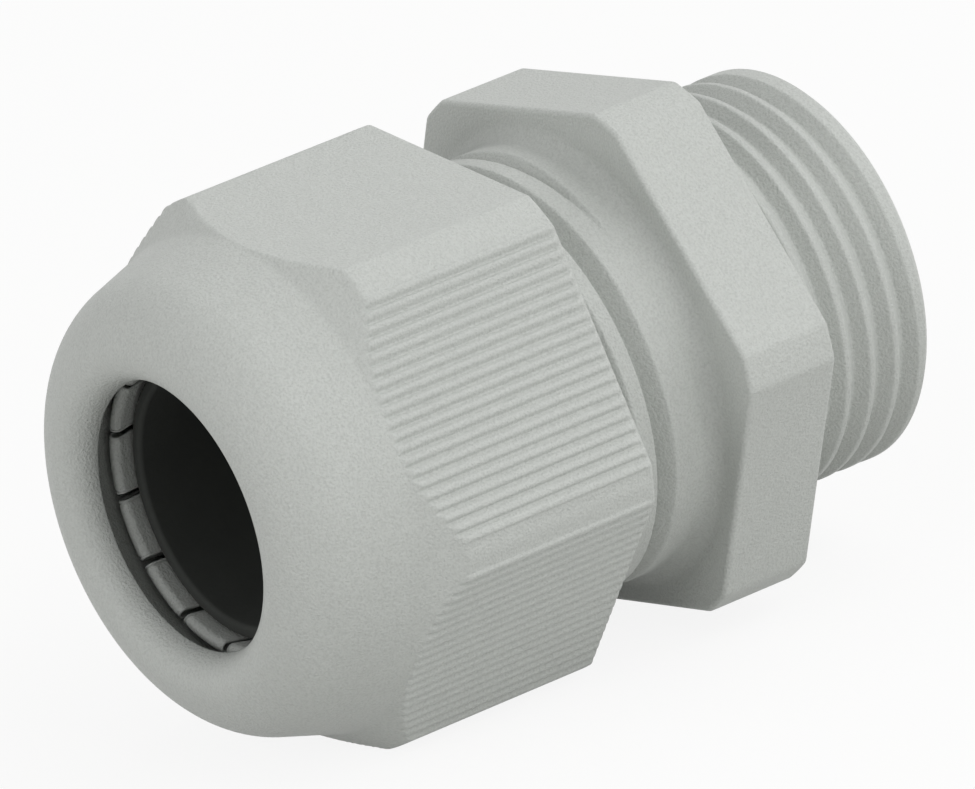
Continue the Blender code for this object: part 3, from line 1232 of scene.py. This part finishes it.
@dataclass
class ClampFingers:
    """The ring of slit clamping fingers on the body's front.

    Attributes:
        count: Number of fingers.
        first_slit: Angle of the slit before the first finger, in degrees from the top.
        slit: Width of a slit.
        root: Height of the roots.
        root_outer: Outer radius of a root.
        root_inner: Inner radius of a root.
        neck_radius: Outer radius at the thin neck above a root.
        neck_height: Height of the neck.
        shoulder_radius: Outer radius of the shoulder above the neck.
        shoulder_height: Height of the shoulder.
        tip: Height of the tips.
        tip_outer: Outer radius at a tip, below its round.
        tip_inner: Inner radius at a tip, below its round.
        tip_break: How far below the tip these two lie.
        tip_rounds: Rounds on a tip's inner edge, its middle and its outer edge.
        neck_round: Round at the shoulder and the neck.
        edge: Round on the side edges.
        edge_columns: Columns in that round.
        columns: Columns between the side edges.
        side_reach: Share of a finger's half width that these columns cover.
    """

    count: int = 14
    first_slit: float = -5.0
    slit: float = 0.3
    root: float = 17.75
    root_outer: float = 10.1
    root_inner: float = 9.0
    neck_radius: float = 9.75
    neck_height: float = 18.45
    shoulder_radius: float = 10.0
    shoulder_height: float = 19.05
    tip: float = 27.45
    tip_outer: float = 7.8
    tip_inner: float = 7.1
    tip_break: float = 0.35
    tip_rounds: tuple[float, float, float] = (0.4, 0.25, 0.2)
    neck_round: float = 0.25
    edge: float = 0.12
    edge_columns: int = 4
    columns: int = 9
    side_reach: float = 0.8

    def corners(self) -> list[Corner]:
        """Lay out a finger's section.

        Returns:
            Its corners, from the root round the inner side.
        """
        middle = 0.5 * (self.tip_outer + self.tip_inner)
        end = self.tip - self.tip_break
        inner_round, middle_round, outer_round = self.tip_rounds
        return [
            Corner(self.root_outer, self.root),
            Corner(self.root_inner, self.root),
            Corner(self.tip_inner, end, inner_round),
            Corner(middle, self.tip, middle_round),
            Corner(self.tip_outer, end, outer_round),
            Corner(self.shoulder_radius, self.shoulder_height, self.neck_round),
            Corner(self.neck_radius, self.neck_height, self.neck_round),
        ]

    def mesh(self) -> bpy.types.Mesh:
        """Make one finger with rounded side edges.

        Returns:
            Its mesh in metres, at the top of the ring.
        """
        corners = self.corners()
        section = np.array(Profile(corners + corners[:1]).points()[:-1])
        ahead = np.roll(section, -1, axis=0) - np.roll(section, 1, axis=0)
        inward = np.stack([ahead[:, 1], -ahead[:, 0]], axis=1)
        inward /= np.linalg.norm(inward, axis=1)[:, None]
        half_step = math.pi / self.count
        turn = np.linspace(0.0, 0.5 * math.pi, self.edge_columns)
        rounding = [(self.edge * (1.0 - math.sin(a)), self.edge * (1.0 - math.cos(a)))
                    for a in turn]
        sides = [(-1.0, back, inset) for back, inset in rounding]
        sides += [(share, 0.0, 0.0)
                  for share in np.linspace(-self.side_reach, self.side_reach, self.columns)]
        sides += [(1.0, back, inset) for back, inset in rounding[::-1]]
        vertices = []
        for share, back, inset in sides:
            points = section + inward * inset
            reach = half_step - np.arcsin((0.5 * self.slit + back) / points[:, 0])
            angles = share * reach
            vertices.append(np.stack([-points[:, 1], points[:, 0] * np.sin(angles),
                                      points[:, 0] * np.cos(angles)], axis=1))
        size = len(section)
        faces: list[list[int]] = []
        for row in range(len(sides) - 1):
            for place in range(size):
                ahead_place = (place + 1) % size
                faces.append([row * size + place, row * size + ahead_place,
                              (row + 1) * size + ahead_place, (row + 1) * size + place])
        faces.append(list(range(size))[::-1])
        faces.append([(len(sides) - 1) * size + place for place in range(size)])
        mesh = bpy.data.meshes.new("clamp_finger")
        mesh.from_pydata((np.concatenate(vertices) * MM).tolist(), [], faces)
        return mesh

    def build(self, ring: FingerRing, material: bpy.types.Material) -> list[bpy.types.Object]:
        """Make the fingers and set each on its CAD node.

        Args:
            ring: Tree that turns a finger to its place.
            material: Finish of the moulding.

        Returns:
            The finished pieces.
        """
        pieces = []
        for number in range(self.count):
            node = f"clamp_finger_{number + 1:02d}"
            item = new_object(f"{node}_moulding", self.mesh())
            ring.put_on(item, {"Number": float(number), "Finger count": float(self.count),
                               "First slit": math.radians(self.first_slit),
                               "Material": material})
            settle(item)
            set_on_node(item, node, Slot.POLYAMIDE)
            pieces.append(item)
        return pieces


def direction(azimuth: float, elevation: float) -> Vector:
    """Find the way from the gland to a camera or a lamp.

    Args:
        azimuth: Direction round the gland in degrees, 0 in front (-Y) and 90 on the right (+X).
        elevation: Height above the floor in degrees.

    Returns:
        The direction, of length 1.
    """
    turn, rise = math.radians(azimuth), math.radians(elevation)
    return Vector((math.sin(turn) * math.cos(rise), -math.cos(turn) * math.cos(rise),
                   math.sin(rise)))


@dataclass(frozen=True)
class Lamp:
    """A square softbox that points at the gland.

    Attributes:
        name: Name of the lamp.
        azimuth: Direction round the gland in degrees, 0 in front (-Y) and 90 on the right (+X).
        elevation: Height above the floor in degrees.
        distance: Distance from the gland in metres.
        size: Side of the softbox in metres.
        power: Power in watts.
    """

    name: str
    azimuth: float
    elevation: float
    distance: float
    size: float
    power: float


@dataclass
class Studio:
    """Floor, light and camera of the picture.

    Attributes:
        floor_height: Height of the floor, from the gland's axis.
        floor_size: Side of the floor in metres.
        floor_colour: Colour of the floor as it lights the gland.
        floor_seen: Colour of the floor as the camera and reflections see it.
        floor_white: Share of plain white that they see in it.
        floor_roughness: Roughness of the floor.
        world_strength: Strength of the even light from all round.
        pivot: Place on the gland's axis that the camera and the lamps are set round.
        azimuth: Direction of the camera round the gland in degrees, as for a lamp.
        elevation: Height of the camera above the floor in degrees.
        roll: Turn of the camera about its line of sight in degrees.
        distance: Distance of the camera from where it aims.
        pixels_per_mm: Scale of the picture at that distance.
        shift_right: How far the camera aims to the right of the pivot.
        shift_up: How far it aims above the pivot.
        sensor: Width of the camera's sensor.
        clip: Nearest and farthest distance in metres that the camera takes in.
        lamps: The softboxes.
    """

    floor_height: float = -13.12
    floor_size: float = 1.2
    floor_colour: str = "#CFCFCD"
    floor_seen: str = "#F8F8F6"
    floor_white: float = 0.88
    floor_roughness: float = 0.9
    world_strength: float = 0.35
    pivot: tuple[float, float, float] = (-10.25, 0.0, 0.0)
    azimuth: float = -34.56
    elevation: float = 19.53
    roll: float = -9.41
    distance: float = 769.0
    pixels_per_mm: float = 21.03
    shift_right: float = -0.170
    shift_up: float = -0.212
    sensor: float = 36.0
    clip: tuple[float, float] = (0.01, 10.0)
    lamps: tuple[Lamp, ...] = (
        Lamp("right_softbox", azimuth=60.0, elevation=40.0, distance=0.6, size=0.45, power=0.95),
        Lamp("back_softbox", azimuth=120.0, elevation=50.0, distance=0.55, size=0.45, power=0.55),
        Lamp("front_softbox", azimuth=5.0, elevation=45.0, distance=0.6, size=0.3, power=0.5),
        Lamp("low_softbox", azimuth=15.0, elevation=12.0, distance=0.7, size=0.28, power=0.9),
        Lamp("left_softbox", azimuth=-85.0, elevation=22.0, distance=0.7, size=0.5, power=1.5),
    )

    def camera(self) -> None:
        """Make the camera at the photograph's viewing angle."""
        turn, roll = math.radians(self.azimuth), math.radians(self.roll)
        back = direction(self.azimuth, self.elevation)
        level = Vector((math.cos(turn), math.sin(turn), 0.0))
        upright = back.cross(level)
        right = math.cos(roll) * level + math.sin(roll) * upright
        up = math.cos(roll) * upright - math.sin(roll) * level
        aim = Vector(self.pivot) + self.shift_right * right + self.shift_up * up
        data = bpy.data.cameras.new("photo_camera")
        data.sensor_width = self.sensor
        data.lens = self.sensor * self.pixels_per_mm * self.distance / FRAME_WIDTH
        data.clip_start, data.clip_end = self.clip
        item = new_object("photo_camera", data)
        place = (aim + self.distance * back) * MM
        axes = Matrix((right, up, back)).transposed()
        item.matrix_world = Matrix.Translation(place) @ axes.to_4x4()
        bpy.context.scene.camera = item

    def floor(self) -> None:
        """Make the pale floor, which the camera sees as white with the gland's shadow."""
        half = 0.5 * self.floor_size
        mesh = bpy.data.meshes.new("studio_floor")
        height = self.floor_height * MM
        mesh.from_pydata([(-half, -half, height), (half, -half, height),
                          (half, half, height), (-half, half, height)], [], [(0, 1, 2, 3)])
        mesh.materials.append(self._floor_material())
        new_object("studio_floor", mesh)

    def _floor_material(self) -> bpy.types.Material:
        """Make pale card, which gives the eye an even matt white that keeps soft shadows.

        Returns:
            A material that is nearly white to the camera and lights the gland as pale grey.
        """
        material = bpy.data.materials.new("pale_card")
        material.use_nodes = True
        tree = material.node_tree
        shader = tree.nodes["Principled BSDF"]
        seen = self._seen_rays(tree)
        colour = add_node(tree, MIX, {"Factor": seen, "A": linear_colour(self.floor_colour),
                                      "B": linear_colour(self.floor_seen)}, data_type="RGBA")
        tree.links.new(colour.outputs["Result"], shader.inputs["Base Color"])
        shader.inputs["Roughness"].default_value = self.floor_roughness
        shader.inputs["Specular IOR Level"].default_value = 0.0
        share = add_node(tree, MATH, {0: seen, 1: self.floor_white}, operation="MULTIPLY")
        white = add_node(tree, "ShaderNodeEmission", {"Strength": 1.0})
        mixed = add_node(tree, "ShaderNodeMixShader", {0: share, 1: shader, 2: white})
        tree.links.new(mixed.outputs[0], tree.nodes["Material Output"].inputs["Surface"])
        return material

    @staticmethod
    def _seen_rays(tree: bpy.types.NodeTree) -> bpy.types.Node:
        """Tell the rays that show a surface from those that only light it.

        Args:
            tree: Node tree that gets the nodes.

        Returns:
            A node that is 1 for camera, glossy and transmission rays.
        """
        path = add_node(tree, "ShaderNodeLightPath").outputs
        first = add_node(tree, MATH, {0: path["Is Camera Ray"], 1: path["Is Glossy Ray"]},
                         operation="ADD")
        return add_node(tree, MATH, {0: first, 1: path["Is Transmission Ray"]},
                        operation="ADD", use_clamp=True)

    def world(self) -> None:
        """Light the scene evenly from all round, with white for what the camera sees."""
        world = bpy.data.worlds.new("white_studio")
        world.use_nodes = True
        tree = world.node_tree
        soft = tree.nodes["Background"]
        soft.inputs["Color"].default_value = WHITE
        soft.inputs["Strength"].default_value = self.world_strength
        white = add_node(tree, "ShaderNodeBackground", {"Color": WHITE, "Strength": 1.0})
        mixed = add_node(tree, "ShaderNodeMixShader", {0: self._seen_rays(tree), 1: soft, 2: white})
        tree.links.new(mixed.outputs[0], tree.nodes["World Output"].inputs["Surface"])
        bpy.context.scene.world = world

    def light(self) -> None:
        """Make the softboxes."""
        target = Vector(self.pivot) * MM
        for lamp in self.lamps:
            away = direction(lamp.azimuth, lamp.elevation)
            data = bpy.data.lights.new(lamp.name, "AREA")
            data.size = lamp.size
            data.energy = lamp.power
            item = new_object(lamp.name, data)
            turned = away.to_track_quat("Z", "Y").to_matrix().to_4x4()
            item.matrix_world = Matrix.Translation(target + away * lamp.distance) @ turned


def main() -> None:
    """Build the gland round its frame and set up the picture."""
    logging.basicConfig(level=logging.INFO, format="%(name)s: %(message)s")
    for item in list(bpy.data.objects):
        bpy.data.objects.remove(item, do_unlink=True)
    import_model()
    polyamide = MouldedPolyamide().material()
    rubber = MouldedRubber().material()
    mill, cutter, ring = HexagonMill(), ThreadCutter(), FingerRing()
    pieces = [GlandBody().build(mill, cutter, polyamide),
              DomeNut().build(mill, cutter, polyamide),
              SealingInsert().build(rubber),
              *ClampFingers().build(ring, polyamide)]
    for piece in pieces:
        LOG.info("%s: %d faces", piece.name, len(piece.data.polygons))
    studio = Studio()
    studio.floor()
    studio.world()
    studio.light()
    studio.camera()
    bpy.context.scene.view_settings.view_transform = "Standard"


if __name__ == "__main__":
    main()
